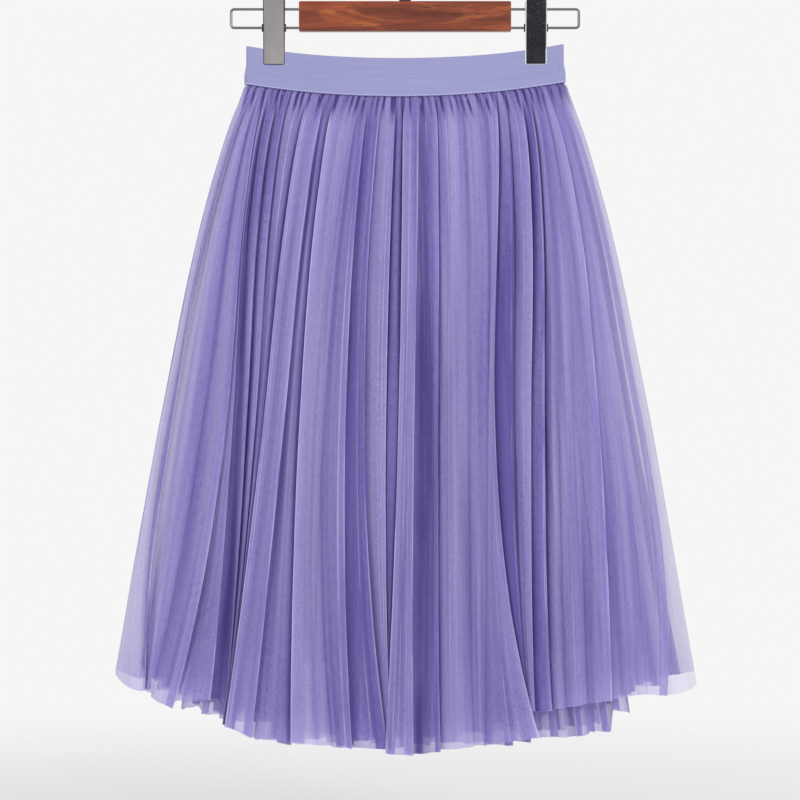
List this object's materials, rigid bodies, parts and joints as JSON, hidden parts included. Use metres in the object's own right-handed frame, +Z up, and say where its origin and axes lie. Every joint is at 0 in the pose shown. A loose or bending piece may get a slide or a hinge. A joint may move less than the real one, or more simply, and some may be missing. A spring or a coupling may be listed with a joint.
{
  "type": "gathered tulle skirt and clip hanger",
  "caption": "Midi skirt of gathered translucent tulle over a shorter lining, with a flat elastic waistband, hung by clips from a wooden bar hanger.",
  "frame": {"origin": "inside top of the hanger's hook, where a rail holds it", "axes": "+Z up, -Y out of the skirt's front, +X to the right as seen from the front"},
  "size_m": [0.608, 0.1548, 0.8637],
  "materials": {
    "tulle": "fine translucent net",
    "lining": "soft satin",
    "elastic": "finely ribbed matte",
    "wood": "red brown lacquer",
    "light_steel": "satin plated",
    "dark_steel": "polished dark"
  },
  "bodies": {
    "root": {"waistband": "elastic", "tulle_outer_front": "tulle", "tulle_outer_back": "tulle", "tulle_inner_front": "tulle", "tulle_inner_back": "tulle", "lining_front": "lining", "lining_back": "lining", "hanger_bar": "wood", "hanger_collar": "dark_steel", "hanger_hook": "dark_steel", "hanger_loop_left": "light_steel", "hanger_loop_right": "light_steel", "clip_left_front": "light_steel", "clip_left_back": "light_steel", "clip_left_barrel": "dark_steel", "clip_right_front": "dark_steel", "clip_right_back": "dark_steel", "clip_right_barrel": "dark_steel"}
  },
  "joints": []
}
